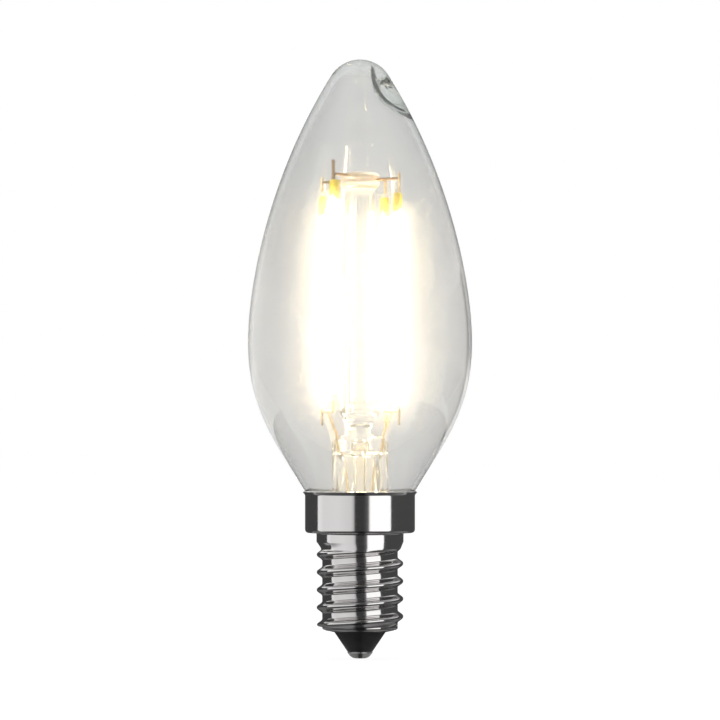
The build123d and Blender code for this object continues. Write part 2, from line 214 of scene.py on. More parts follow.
def bow(centre, radius, start, end):
    """A stroke round part of a circle, its angles counted from straight out."""
    first, last = math.radians(start), math.radians(end)
    reach = 4 / 3 * math.tan((last - first) / 4) * radius * MM
    a = centre + Vector((math.cos(first), 0, math.sin(first))) * radius * MM
    b = centre + Vector((math.cos(last), 0, math.sin(last))) * radius * MM
    leave = Vector((-math.sin(first), 0, math.cos(first))) * reach
    arrive = Vector((-math.sin(last), 0, math.cos(last))) * reach
    return (a, a + leave, b - arrive, b)


def cut(stroke, share):
    """A stroke cut in two at a share of its run."""
    a, b, c, d = stroke
    leave, middle, arrive = a.lerp(b, share), b.lerp(c, share), c.lerp(d, share)
    before, after = leave.lerp(middle, share), middle.lerp(arrive, share)
    joint = before.lerp(after, share)
    return [(a, leave, before, joint), (joint, after, arrive, d)]


def turned_back(strokes):
    """The same strokes, drawn from the other end."""
    return [tuple(reversed(stroke)) for stroke in reversed(strokes)]


def draw(name, strokes, fineness):
    """Draw the strokes as one curve and make it a string of edges."""
    deselect_all()
    bpy.ops.curve.primitive_bezier_curve_add(location=(0, 0, 0))
    outline = bpy.context.object
    outline.name = name
    outline.data.resolution_u = fineness
    knots = outline.data.splines[0].bezier_points
    knots.add(len(strokes) + 1 - len(knots))
    for knot in knots:
        knot.handle_left_type = "FREE"
        knot.handle_right_type = "FREE"
    for index, (a, leave, arrive, b) in enumerate(strokes):
        knots[index].co = a
        knots[index].handle_right = leave
        knots[index + 1].handle_left = arrive
        knots[index + 1].co = b
    bpy.ops.object.convert(target="MESH")
    edit_all()
    bpy.ops.mesh.remove_doubles(threshold=SAME_PLACE)
    bpy.ops.mesh.dissolve_limited(angle_limit=math.radians(STRAIGHT_ANGLE))
    close_edit()
    return bpy.context.object


def spin_round(steps):
    """Turn the outline just drawn once round the axis, close the seam and smooth the faces."""
    edit_all()
    bpy.ops.mesh.spin(steps=steps, angle=2 * math.pi, center=(0, 0, 0), axis=(0, 0, 1))
    bpy.ops.mesh.select_all(action="SELECT")
    bpy.ops.mesh.remove_doubles(threshold=SAME_PLACE)
    bpy.ops.mesh.normals_make_consistent(inside=False)
    close_edit()
    bpy.ops.object.shade_smooth_by_angle(angle=math.radians(SHARP_ANGLE))


def dress(piece, material, slot, *nodes):
    """Give a finished piece its material and body, and let it stand for its solids."""
    piece.data.materials.clear()
    piece.data.materials.append(material)
    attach(piece, "root")
    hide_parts(*nodes)


# Finishes
def new_finish(name):
    """A new material with its nodes, its shader and the place on the piece."""
    material = bpy.data.materials.new(name)
    material.use_nodes = True
    tree = material.node_tree
    shader = tree.nodes["Principled BSDF"]
    where = tree.nodes.new("ShaderNodeTexCoord")
    return material, tree, shader, where.outputs["Object"]


def speckle(tree, where, scale, detail, stretch=(1, 1, 1)):
    """Noise over the piece, stretched along an axis where it is drawn or turned."""
    mapping = tree.nodes.new("ShaderNodeMapping")
    mapping.inputs["Scale"].default_value = stretch
    tree.links.new(where, mapping.inputs["Vector"])
    noise = tree.nodes.new("ShaderNodeTexNoise")
    noise.inputs["Scale"].default_value = scale
    noise.inputs["Detail"].default_value = detail
    tree.links.new(mapping.outputs["Vector"], noise.inputs["Vector"])
    return noise.outputs["Fac"]


def spread(tree, value, low, high, start=0.3, end=0.7):
    """Map a value onto a range."""
    node = tree.nodes.new("ShaderNodeMapRange")
    node.inputs["From Min"].default_value = start
    node.inputs["From Max"].default_value = end
    node.inputs["To Min"].default_value = low
    node.inputs["To Max"].default_value = high
    tree.links.new(value, node.inputs["Value"])
    return node.outputs["Result"]


def shades(tree, value, *stops):
    """Map a value onto colours."""
    node = tree.nodes.new("ShaderNodeValToRGB")
    ramp = node.color_ramp
    while len(ramp.elements) < len(stops):
        ramp.elements.new(0.5)
    for element, (position, colour) in zip(ramp.elements, stops):
        element.position = position
        element.color = (*colour, 1)
    tree.links.new(value, node.inputs["Fac"])
    return node.outputs["Color"]


def levels(tree, value, *stops):
    """Map a value onto brightnesses."""
    return shades(tree, value, *((position, (level, level, level)) for position, level in stops))


def reckon(tree, operation, *values):
    """Work out one value from other values and plain numbers."""
    node = tree.nodes.new("ShaderNodeMath")
    node.operation = operation
    for socket, value in zip(node.inputs, values):
        if isinstance(value, float):
            socket.default_value = value
        else:
            tree.links.new(value, socket)
    return node.outputs["Value"]


def steer(tree, operation, where, other=None):
    """Work out a place or direction from another one, or how long it is."""
    node = tree.nodes.new("ShaderNodeVectorMath")
    node.operation = operation
    tree.links.new(where, node.inputs[0])
    if other:
        node.inputs[1].default_value = other
    return node.outputs["Value" if operation in ("LENGTH", "DOT_PRODUCT") else "Vector"]


def height_of(tree, where):
    apart = tree.nodes.new("ShaderNodeSeparateXYZ")
    tree.links.new(where, apart.inputs["Vector"])
    return apart.outputs["Z"]


def raise_surface(tree, shader, value, strength, depth):
    """Small relief, its depth in millimetres."""
    bump = tree.nodes.new("ShaderNodeBump")
    bump.inputs["Strength"].default_value = strength
    bump.inputs["Distance"].default_value = depth * MM
    tree.links.new(value, bump.inputs["Height"])
    tree.links.new(bump.outputs["Normal"], shader.inputs["Normal"])


def bloomed_glass(name, tint, bloom, bloom_roughness, bloom_clear, thick_tint, density, ripple, ripple_depth):
    """Clear rippled glass, with a faint bloom that spreads the filaments' light, and deeper where it is thick."""
    material, tree, clear, where = new_finish(name)
    raise_surface(tree, clear, speckle(tree, where, ripple, 2.0), 0.3, ripple_depth)
    misted = tree.nodes.new("ShaderNodeBsdfPrincipled")
    for shader, roughness, passing in ((clear, 0.0, 1.0), (misted, bloom_roughness, bloom_clear)):
        shader.inputs["Base Color"].default_value = (*tint, 1)
        shader.inputs["Roughness"].default_value = roughness
        shader.inputs["IOR"].default_value = GLASS_IOR
        shader.inputs["Transmission Weight"].default_value = passing
    mix = tree.nodes.new("ShaderNodeMixShader")
    mix.inputs["Fac"].default_value = bloom
    tree.links.new(clear.outputs["BSDF"], mix.inputs[1])
    tree.links.new(misted.outputs["BSDF"], mix.inputs[2])
    absorb = tree.nodes.new("ShaderNodeVolumeAbsorption")
    absorb.inputs["Color"].default_value = (*thick_tint, 1)
    absorb.inputs["Density"].default_value = density
    out = tree.nodes["Material Output"]
    tree.links.new(mix.outputs["Shader"], out.inputs["Surface"])
    tree.links.new(absorb.outputs["Volume"], out.inputs["Volume"])
    return material


def paint_stem_glow(material):
    """Painted glow: warm emission on the stem glass, faint in its foot and brighter in its button, whose glass is
    also clouded round its wires.
    """
    tree = material.node_tree
    height = height_of(tree, tree.nodes["Texture Coordinate"].outputs["Object"])
    up = spread(tree, height, 0.0, 1.0, STEM_LIGHT_FOOT * MM, STEM_LIGHT_TOP * MM)
    cloud = levels(tree, up, (0.90, 0.0), (0.925, 0.32))
    tree.links.new(cloud, tree.nodes["Mix Shader"].inputs["Fac"])
    clear = tree.nodes["Principled BSDF"]
    # Painted glow: warm emission standing in for the filaments' light, faint in the foot and brighter in the
    # button
    clear.inputs["Emission Color"].default_value = (*STEM_LIGHT, 1)
    painted_glow = levels(tree, up, (0.0, 0.05), (0.28, 0.085), (0.33, 0.01), (0.90, 0.01), (0.93, 0.58))
    tree.links.new(painted_glow, clear.inputs["Emission Strength"])


def mottled_finish(name, dark, light, roughness, grain, relief=0.0, drawn=1.0, metal=False):
    """Metal, mould, lacquer or ceramic, its colour and polish varying a little over it."""
    material, tree, shader, where = new_finish(name)
    mottle = speckle(tree, where, grain, 4.0, (1, 1, drawn))
    tree.links.new(shades(tree, mottle, (0.3, dark), (0.7, light)), shader.inputs["Base Color"])
    shader.inputs["Metallic"].default_value = 1.0 if metal else 0.0
    tree.links.new(spread(tree, mottle, *roughness), shader.inputs["Roughness"])
    if relief:
        raise_surface(tree, shader, mottle, 0.4, relief)
    return material


def lit_phosphor(name, top, angle):
    """Yellow silicone over the lit chips: white hot along its middle, its own yellow at the upper end."""
    material, tree, shader, where = new_finish(name)
    grain = speckle(tree, where, 2500, 3.0)
    yellow = shades(tree, grain, (0.3, (0.95, 0.66, 0.01)), (0.7, (1.0, 0.76, 0.03)))
    tree.links.new(yellow, shader.inputs["Base Color"])
    shader.inputs["Roughness"].default_value = 0.55
    raise_surface(tree, shader, grain, 0.3, 0.05)
    down = spread(tree, height_of(tree, where), 1.0, 0.0, top - YELLOW_END * MM, top)
    glow = shades(
        tree,
        down,
        (0.0, (1.0, 0.70, 0.01)),
        (0.3, (1.0, 0.74, 0.02)),
        (0.6, (1.0, 0.80, 0.14)),
        (1.0, LAMP_LIGHT),
    )
    tree.links.new(glow, shader.inputs["Emission Color"])
    heat = levels(tree, down, (0.0, 0.008), (0.3, 0.016), (0.55, 0.035), (0.8, 0.10), (1.0, 1.0))
    across = (-math.sin(angle), math.cos(angle), 0)
    aside = reckon(tree, "ABSOLUTE", steer(tree, "DOT_PRODUCT", where, across))
    core = spread(tree, aside, LAMP_POWER, CORE_EDGE * LAMP_POWER, CORE_HALF * MM, CORE_FADE * MM)
    tree.links.new(reckon(tree, "MULTIPLY", heat, core), shader.inputs["Emission Strength"])
    return material


def plated_cap(name):
    """Bright nickel over drawn brass, finely turned, its colour painted a little darker down in the thread as
    painted shade.
    """
    material, tree, shader, where = new_finish(name)
    turning = speckle(tree, where, 900, 3.0, (0.12, 0.12, 3.0))
    radius = steer(tree, "LENGTH", steer(tree, "MULTIPLY", where, (1, 1, 0)))
    # Painted shade: the plate's colour darkens a little towards the roots of the thread
    groove_shade = spread(tree, radius, 0.0, 1.0, GROOVE_SHADE_R * MM, GROOVE_SHADE_EDGE_R * MM)
    plate = shades(tree, groove_shade, (0.0, (0.72, 0.705, 0.70)), (1.0, (0.76, 0.747, 0.743)))
    tree.links.new(plate, shader.inputs["Base Color"])
    shader.inputs["Metallic"].default_value = 1.0
    tree.links.new(spread(tree, turning, 0.07, 0.13), shader.inputs["Roughness"])
    raise_surface(tree, shader, turning, 0.06, 0.004)
    return material


clear_glass = bloomed_glass(
    "clear_glass",
    tint=(0.87, 0.868, 0.864),
    bloom=0.13,
    bloom_roughness=0.58,
    bloom_clear=1.0,
    thick_tint=(0.82, 0.86, 0.84),
    density=150,
    ripple=90,
    ripple_depth=0.006,
)
stem_glass = bloomed_glass(
    "stem_glass",
    tint=(0.99, 0.985, 0.97),
    bloom=0.2,
    bloom_roughness=0.4,
    bloom_clear=0.45,
    thick_tint=(1.0, 0.94, 0.80),
    density=6,
    ripple=260,
    ripple_depth=0.02,
)
paint_stem_glow(stem_glass)
nickel = plated_cap("nickel_plate")
black_glass = mottled_finish(
    "black_glass", (0.006, 0.006, 0.007), (0.014, 0.014, 0.015), (0.42, 0.55), 700, relief=0.01
)
solder = mottled_finish(
    "tin_solder", (0.42, 0.42, 0.42), (0.66, 0.66, 0.65), (0.22, 0.42), 600, relief=0.06, metal=True
)
cement = mottled_finish("cap_cement", (0.60, 0.57, 0.50), (0.74, 0.71, 0.64), (0.8, 0.95), 1500, relief=0.08)
lead_metal = mottled_finish(
    "lead_copper", (0.82, 0.58, 0.26), (0.97, 0.78, 0.44), (0.18, 0.34), 1800, relief=0.01, drawn=0.2, metal=True
)
tab_metal = mottled_finish(
    "tab_metal", (0.72, 0.52, 0.28), (0.90, 0.72, 0.44), (0.22, 0.38), 2400, relief=0.01, metal=True
)
scorched_wire = mottled_finish(
    "scorched_wire", (0.22, 0.13, 0.06), (0.42, 0.27, 0.13), (0.3, 0.5), 1800, relief=0.01, drawn=0.2, metal=True
)
ceramic = mottled_finish(
    "filament_ceramic", (0.76, 0.72, 0.62), (0.88, 0.85, 0.78), (0.45, 0.6), 3000, relief=0.01
)
board_lacquer = mottled_finish(
    "board_lacquer", (0.68, 0.68, 0.64), (0.78, 0.78, 0.74), (0.35, 0.5), 1800, relief=0.01
)
chip_mould = mottled_finish(
    "chip_mould", (0.02, 0.02, 0.022), (0.045, 0.045, 0.048), (0.5, 0.7), 4000, relief=0.01
)
can_metal = mottled_finish(
    "capacitor_can", (0.42, 0.43, 0.45), (0.58, 0.59, 0.61), (0.3, 0.45), 900, drawn=0.1, metal=True
)
resistor_lacquer = mottled_finish(
    "resistor_lacquer", (0.10, 0.26, 0.18), (0.16, 0.36, 0.25), (0.35, 0.55), 2200, relief=0.02
)
tinned = mottled_finish("tinned_wire", (0.48, 0.48, 0.47), (0.68, 0.68, 0.67), (0.25, 0.4), 1800, metal=True)


# The glass envelope, blown in one piece, with a drop of run glass inside its tip
def envelope_half(wall, tip):
    """Half outline of the envelope from the tip to the foot of the neck."""
    round_r = TIP_R - wall
    tip_round = bow(at(0, TIP - tip - round_r), round_r, 90, TIP_ANGLE)
    shoulder = tip_round[3]
    flank = Vector((math.sin(math.radians(TIP_ANGLE)), 0, -math.cos(math.radians(TIP_ANGLE))))
    belly = at(BELLY_R - wall, BELLY)
    neck = at(NECK_R - wall, NECK_TOP)
    cone = Vector((math.sin(math.radians(NECK_ANGLE)), 0, math.cos(math.radians(NECK_ANGLE))))
    side = (shoulder, shoulder + flank * SHOULDER_REACH * MM, belly + at(0, BELLY_REACH_UP), belly)
    return [
        tip_round,
        *cut(side, SHOULDER_SHARE),
        (belly, belly - at(0, BELLY_REACH_DOWN), neck + cone * NECK_REACH * MM, neck),
        straight(neck, at(NECK_R - wall, NECK_FOOT)),
    ]


def blow_envelope():
    outside = envelope_half(0, 0)
    inside = envelope_half(GLASS_WALL, TIP_WALL)
    foot = straight(outside[-1][3], inside[-1][3])
    piece = draw("glass_bulb", outside + [foot] + turned_back(inside), ENVELOPE_FINENESS)
    spin_round(ENVELOPE_STEPS)
    let_glass_run(piece)
    return piece


def let_glass_run(piece):
    """A thick drop of glass run down one side inside the tip, gathered towards its lower end."""
    tip_centre = TIP - TIP_R

    def in_drop(v, middle, tall, wide):
        inside = v.normal.dot(Vector((v.co.x, v.co.y, max(0.0, v.co.z - tip_centre * MM)))) < 0
        up = (v.co.z / MM - middle) / tall
        round_axis = math.atan2(v.co.y, v.co.x) / math.radians(wide)
        return inside and out_from_axis(v) > MM and math.hypot(up, round_axis) < 1

    for middle, tall, wide, pull, reach in DROP_PULLS:
        select_points(piece, lambda v: in_drop(v, middle, tall, wide))
        bpy.ops.transform.translate(
            value=(-pull * MM, 0, 0),
            use_proportional_edit=True,
            use_proportional_connected=True,
            proportional_edit_falloff="SMOOTH",
            proportional_size=reach * MM,
        )
        close_edit()
    select_points(piece, lambda v: in_drop(v, *DROP_EASED))
    bpy.ops.mesh.vertices_smooth(factor=0.5, repeat=DROP_EASING)
    close_edit()


bulb = blow_envelope()
dress(bulb, clear_glass, "clear_glass", "glass_envelope")


# The stem: flare, press, trumpet foot, column and button, fused in one
def fuse_stem():
    tube_in = FLARE_R - FLARE_WALL
    tube_end = PRESS - TUBE_DROP
    port_foot = PRESS - PORT_DROP
    rim_r = NECK_R - GLASS_WALL
    rim_top = NECK_FOOT + FLARE_WALL
    bend_r = FLARE_R + FLARE_BEND
    bend = rim_top + FLARE_BEND
    outside = [
        straight(at(0, BUTTON_TOP), at(BUTTON_R - BUTTON_ROUND, BUTTON_TOP)),
        bow(at(BUTTON_R - BUTTON_ROUND, BUTTON_TOP - BUTTON_ROUND), BUTTON_ROUND, 90, 0),
        straight(at(BUTTON_R, BUTTON_TOP - BUTTON_ROUND), at(BUTTON_R, BUTTON_FOOT + 0.6)),
        (
            at(BUTTON_R, BUTTON_FOOT + 0.6),
            at(BUTTON_R, BUTTON_FOOT - 0.2),
            at(COLUMN_R, BUTTON_FOOT + 0.1),
            at(COLUMN_R, BUTTON_FOOT - 0.8),
        ),
        straight(at(COLUMN_R, BUTTON_FOOT - 0.8), at(COLUMN_R, FOOT_BUTTON + 1.8)),
        (
            at(COLUMN_R, FOOT_BUTTON + 1.8),
            at(COLUMN_R, FOOT_BUTTON + 0.9),
            at(FOOT_BUTTON_R, FOOT_BUTTON + 1.1),
            at(FOOT_BUTTON_R, FOOT_BUTTON + 0.3),
        ),
        (
            at(FOOT_BUTTON_R, FOOT_BUTTON + 0.3),
            at(FOOT_BUTTON_R, FOOT_BUTTON - 0.6),
            at(WAIST_R, PRESS_TOP + 1.8),
            at(WAIST_R, PRESS_TOP + 0.1),
        ),
        (
            at(WAIST_R, PRESS_TOP + 0.1),
            at(WAIST_R + 0.3, PRESS_TOP - 0.15),
            at(FLARE_R, PRESS + 1.4),
            at(FLARE_R, PRESS),
        ),
        straight(at(FLARE_R, PRESS), at(FLARE_R, PRESS_FOOT)),
        straight(at(FLARE_R, PRESS_FOOT), at(FLARE_R, bend)),
        bow(at(bend_r, bend), FLARE_BEND, 180, 270),
        straight(at(bend_r, rim_top), at(rim_r, rim_top)),
    ]
    inside = [
        straight(at(rim_r, rim_top), at(rim_r, NECK_FOOT)),
        straight(at(rim_r, NECK_FOOT), at(bend_r, NECK_FOOT)),
        bow(at(bend_r, bend), FLARE_BEND + FLARE_WALL, 270, 180),
        straight(at(tube_in, bend), at(tube_in, PRESS_FOOT)),
        straight(at(tube_in, PRESS_FOOT), at(tube_in, tube_end)),
        (
            at(tube_in, tube_end),
            at(tube_in, port_foot),
            at(PORT_BUBBLE_R + 0.8, port_foot),
            at(PORT_BUBBLE_R, port_foot),
        ),
        straight(at(PORT_BUBBLE_R, port_foot), at(PORT_BUBBLE_R, PRESS + 0.2)),
        (
            at(PORT_BUBBLE_R, PRESS + 0.2),
            at(PORT_BUBBLE_R, PRESS + 0.8),
            at(PORT_BUBBLE_R - 0.6, PRESS + 1.05),
            at(0, PRESS + 1.05),
        ),
    ]
    piece = draw("glass_stem", outside + inside, STEM_FINENESS)
    for end in (PRESS, tube_end):
        subdivide_run(piece, PRESS_FOOT, end, PRESS_CUTS)
    spin_round(STEM_STEPS)
    pinch_press(piece)
    return piece


def subdivide_run(piece, low, high, cuts):
    """Cut a long straight edge of an outline into short ones."""
    tall = (high - low) * MM * 0.9
    bpy.ops.object.mode_set(mode="EDIT")
    bpy.ops.mesh.select_mode(type="EDGE")
    bpy.ops.mesh.select_all(action="DESELECT")
    close_edit()
    points = piece.data.vertices
    for edge in piece.data.edges:
        a, b = (points[i].co for i in edge.vertices)
        upright = abs(a.x - b.x) < NEAR
        inside_run = min(a.z, b.z) >= low * MM - NEAR and max(a.z, b.z) <= high * MM + NEAR
        edge.select = upright and inside_run and abs(a.z - b.z) > tall
    bpy.ops.object.mode_set(mode="EDIT")
    bpy.ops.mesh.subdivide(number_cuts=cuts)
    close_edit()


def pinch_press(piece):
    """Squeeze the top of the tube flat, front to back, ring by ring, round the open port."""
    points = piece.data.vertices
    rings = {round(v.co.z, 7) for v in points if PRESS_FOOT * MM + NEAR < v.co.z < PRESS_TOP * MM}
    for height in sorted(rings):
        def on_ring(v, height=height):
            return abs(v.co.z - height) < ON_LEVEL
        reach = max(out_from_axis(v) for v in piece.data.vertices if on_ring(v)) / MM
        if height > PRESS * MM:
            half = PRESS_HALF + (WAIST_R - PRESS_HALF) * (height / MM - PRESS) / (PRESS_TOP - PRESS)
            flat = min(1.0, half / max(reach, half))
        else:
            close = min(1.0, (height / MM - PRESS_FOOT) / (PRESS - PRESS_FOOT))
            ease = close * close * (3 - 2 * close)
            half = FLARE_R + (PRESS_HALF - FLARE_R) * ease
            flat = min(1.0, half / FLARE_R)
        if reach < PORT_BUBBLE_R + PORT_MARGIN:
            flat = min(1.0, flat + (height / MM - PRESS + PORT_DROP) / PORT_DROP)
        select_points(piece, on_ring)
        bpy.ops.transform.resize(value=(1, flat, 1), center_override=(0, 0, height))
    close_edit()


stem = fuse_stem()
dress(stem, stem_glass, "stem_glass", "stem_flare", "stem_column")


# Filament coats, rounded at their edges and ends
def coat_filaments():
    for name, turn in FILAMENT_TURNS:
        low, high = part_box(f"phosphor_{name}")
        angle = math.radians(FILAMENT_ANGLE + turn)
        deselect_all()
        bpy.ops.mesh.primitive_cube_add(size=1)
        coat = bpy.context.object
        coat.name = f"phosphor_coat_{name}"
        coat.scale = (COAT_THICK * MM, COAT_WIDE * MM, high[2] - low[2])
        coat.rotation_euler = (0, 0, angle)
        coat.location = (
            FILAMENT_CIRCLE_R * MM * math.cos(angle),
            FILAMENT_CIRCLE_R * MM * math.sin(angle),
            (low[2] + high[2]) / 2,
        )
        bpy.ops.object.transform_apply(location=True, rotation=True, scale=True)
        edit_all()
        bpy.ops.mesh.bevel(offset=COAT_ROUND * MM, segments=COAT_ROUND_STEPS, profile=0.5, affect="EDGES")
        close_edit()
        bpy.ops.object.shade_smooth_by_angle(angle=math.radians(COAT_SHARP_ANGLE))
        dress(coat, lit_phosphor(f"lit_phosphor_{name}", high[2], angle), "phosphor", f"phosphor_{name}")


coat_filaments()


# The screw cap, rolled from one sheet
def roll_cap():
    thread = roll_thread()
    draw_out(thread, THREAD_TOP, PLAIN_R, PLAIN_FOOT - SEAM)
    draw_out(thread, THREAD_FOOT, ROOT_R, FOOT_RING + SEAM)
    collar = draw_collar()
    foot = draw_foot()
    deselect_all()
    for part in (collar, foot, thread):
        part.select_set(True)
    bpy.context.view_layer.objects.active = thread
    bpy.ops.object.join()
    for ring in (PLAIN_FOOT, FOOT_RING):
        select_points(thread, lambda v: abs(v.co.z - ring * MM) < (SEAM + 0.001) * MM)
        bpy.ops.mesh.bridge_edge_loops()
    bpy.ops.mesh.select_all(action="SELECT")
    bpy.ops.mesh.normals_make_consistent(inside=True)
    close_edit()
    bpy.ops.object.modifier_add(type="SOLIDIFY")
    sheet = thread.modifiers[-1]
    sheet.thickness = SHEET * MM
    sheet.offset = -1
    sheet.use_even_offset = True
    bpy.ops.object.modifier_apply(modifier=sheet.name)
    bpy.ops.object.shade_smooth_by_angle(angle=math.radians(CAP_SHARP_ANGLE))
    return thread


def roll_thread():
    """A wall one pitch high, wound up in turns and cut off level at both ends."""
    half = THREAD_PITCH / 2
    out = (
        at(ROOT_R, ROOT_HALF),
        at(ROOT_R, ROOT_REACH),
        at(CREST_R, half - CREST_REACH),
        at(CREST_R, half - CREST_HALF),
    )
    back = tuple(Vector((p.x, 0, THREAD_PITCH * MM - p.z)) for p in reversed(out))
    wall = draw(
        "screw_shell",
        [
            straight(at(ROOT_R, 0), out[0]),
            out,
            straight(out[3], back[0]),
            back,
            straight(back[3], at(ROOT_R, THREAD_PITCH)),
        ],
        THREAD_FINENESS,
    )
    bpy.ops.object.modifier_add(type="SCREW")
    turns = wall.modifiers[-1]
    turns.screw_offset = THREAD_PITCH * MM
    turns.iterations = THREAD_TURNS
    turns.steps = CAP_STEPS
    turns.render_steps = CAP_STEPS
    bpy.ops.object.modifier_apply(modifier=turns.name)
    edit_all()
    bpy.ops.mesh.remove_doubles(threshold=NEAR)
    bpy.ops.transform.translate(value=(0, 0, THREAD_LIFT * MM))
    for height, below in ((THREAD_FOOT, True), (THREAD_TOP, False)):
        bpy.ops.mesh.select_all(action="SELECT")
        bpy.ops.mesh.bisect(
            plane_co=(0, 0, height * MM),
            plane_no=(0, 0, 1),
            clear_inner=below,
            clear_outer=not below,
            threshold=SAME_PLACE,
        )
    close_edit()
    return wall


def draw_out(piece, rim, radius, height):
    """Carry a level cut rim on to a round of a given radius and height, and ease the bend between them."""
    select_points(piece, lambda v: abs(v.co.z - rim * MM) < ON_LEVEL)
    bpy.ops.mesh.remove_doubles(threshold=RIM_MERGE * MM)
    bpy.ops.mesh.duplicate_move(TRANSFORM_OT_translate={"value": (0, 0, (height - rim) * MM)})
    bpy.ops.transform.tosphere(value=1, center_override=(0, 0, height * MM))
    close_edit()
    reaches = [out_from_axis(v) for v in piece.data.vertices if v.select]
    grow = radius * MM * len(reaches) / sum(reaches)
    bpy.ops.object.mode_set(mode="EDIT")
    bpy.ops.transform.resize(value=(grow, grow, 1), center_override=(0, 0, height * MM))
    close_edit()
    select_points(piece, lambda v: min(abs(v.co.z - rim * MM), abs(v.co.z - height * MM)) < ON_LEVEL)
    bpy.ops.mesh.bridge_edge_loops(number_cuts=RUN_OUT_CUTS, interpolation="LINEAR")
    close_edit()
    low, high = sorted((height, rim + math.copysign(RUN_OUT, rim - height)))
    select_points(piece, lambda v: (low + RUN_OUT_MARGIN) * MM < v.co.z < (high - RUN_OUT_MARGIN) * MM)
    bpy.ops.mesh.vertices_smooth(factor=0.5, repeat=RUN_OUT_EASING)
    close_edit()


def draw_collar():
    """The plain part above the thread, the step out to the collar, and the collar with its lip."""
    turn_in = COLLAR_FOOT - STEP_IN_R
    turn_out = COLLAR_FOOT + STEP_OUT_R
    collar = draw(
        "cap_collar",
        [
            straight(at(PLAIN_R, PLAIN_FOOT), at(PLAIN_R, turn_in)),
            bow(at(PLAIN_R + STEP_IN_R, turn_in), STEP_IN_R, 180, 90),
            straight(at(PLAIN_R + STEP_IN_R, COLLAR_FOOT), at(COLLAR_R - STEP_OUT_R, COLLAR_FOOT)),
            bow(at(COLLAR_R - STEP_OUT_R, turn_out), STEP_OUT_R, 270, 360),
            straight(at(COLLAR_R, turn_out), at(COLLAR_R, COLLAR_TOP - LIP_HEIGHT)),
            (
                at(COLLAR_R, COLLAR_TOP - LIP_HEIGHT),
                at(COLLAR_R, COLLAR_TOP - 0.5),
                at(COLLAR_R + 0.17, COLLAR_TOP - 0.4),
                at(COLLAR_R + LIP_FLARE, COLLAR_TOP - 0.09),
            ),
        ],
        CAP_FINENESS,
    )
    spin_round(CAP_STEPS)
    return collar


def draw_foot():
    """The shallow cone under the thread, down to the insulator."""
    edge_r = SHELL_RIM_R + FOOT_CONE
    edge = SHELL_FOOT + FOOT_RISE
    foot = draw(
        "cap_foot",
        [
            straight(at(SHELL_RIM_R, SHELL_FOOT), at(edge_r, edge)),
            (at(edge_r, edge), at(edge_r + 0.4, edge + 0.09), at(ROOT_R, FOOT_RING - 0.3), at(ROOT_R, FOOT_RING)),
        ],
        CAP_FINENESS,
    )
    spin_round(CAP_STEPS)
    return foot


cap_shell = roll_cap()
dress(cap_shell, nickel, "nickel_plate", "screw_cap")

# The solids that keep their shape get their finish
finishes = {
    "cap_insulator": black_glass,
    "contact_plate": tinned,
    "contact_solder": solder,
    "cap_cement": cement,
    "exhaust_tube": stem_glass,
    "driver_board": board_lacquer,
    "bridge_rectifier": chip_mould,
    "driver_chip": chip_mould,
    "smoothing_capacitor": can_metal,
    "fuse_resistor": resistor_lacquer,
    "live_wire": tinned,
    "neutral_wire": tinned,
    "lead_wire_left": lead_metal,
    "lead_wire_right": lead_metal,
    "crossbar_left": lead_metal,
    "crossbar_right": lead_metal,
    "top_link_lower": scorched_wire,
    "top_link_upper": scorched_wire,
}
for corner, _ in FILAMENT_TURNS:
    finishes[f"filament_{corner}"] = ceramic
    finishes[f"tab_{corner}_foot"] = tab_metal
    finishes[f"tab_{corner}_top"] = scorched_wire if corner == "front_left" else lead_metal
for node, finish in finishes.items():
    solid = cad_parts[node]
    solid.data.materials.clear()
    solid.data.materials.append(finish)


# Stage: a pale floor, a white surround, soft light, and a tent and flags that only metal and glass show
FLOOR_SIZE = 30.0
FLOOR_DROP = 0.0002
FLOOR_SHADE = (0.86, 0.86, 0.86)
FLOOR_WHITE = 1.12
FLOOR_WHITE_SHARE = 0.8
SURROUND_LIGHT = 0.6

# Tent: brightness of its cloths by the angle round it, from the camera's side to the right, as level and as
# steep reflections see them, and a dimming from straight down (0) over level (0.5) to straight up (1)
TENT_R = 140.0
TENT_FOOT = 0.05
TENT_EAVES = 120.0
TENT_FINENESS = 8
TENT_STEPS = 64
THREAD_MIDDLE = 11.0
STEEP_FROM = 0.18
STEEP_TO = 0.27
LEVEL_CLOTHS = (
    (-175, 0.80), (-150, 0.90), (-138, 1.10), (-108, 1.05), (-90, 0.95), (-80, 0.84), (-45, 0.86),
    (-18, 0.76), (-13, 0.58), (-10, 0.05), (8, 0.05), (17, 0.13), (21, 1.35), (67, 1.35),
    (75, 0.90), (100, 1.05), (138, 1.15), (156, 0.90), (180, 1.00),
)
SLANT_CLOTHS = (
    (-175, 0.70), (-165, 0.30), (-150, 0.40), (-138, 1.00), (-108, 1.05), (-90, 0.85), (-76, 0.60),
    (-20, 0.55), (-8, 0.08), (12, 0.08), (23, 0.60), (65, 0.60), (80, 0.60), (100, 1.05),
    (132, 1.10), (146, 0.30), (158, 0.15), (174, 0.20), (180, 0.80),
)
TENT_DIMMING = (
    (0.0, 0.46), (0.03, 0.46), (0.065, 0.26), (0.125, 0.13), (0.35, 0.16), (0.40, 1.0), (0.56, 1.0), (0.59, 1.2),
    (0.72, 1.2), (0.77, 0.55), (0.82, 0.50), (0.875, 0.28), (0.935, 0.58), (0.97, 0.80), (1.0, 0.80),
)

# Dark flags: radius, first and last angle, foot and top, brightness, seen through the glass or in reflections
FLAGS = (
    ("flag_right", TENT_R, 100, 149, 0.5, 82, 0.1, True),
    ("cap_flag_left", 40, -165, -90, 0.5, 27, 0.06, False),
    ("cap_flag_right", 40, 61, 165, 0.5, 27, 0.07, False),
)
FLAG_FINENESS = 2
FLAG_STEPS = 24

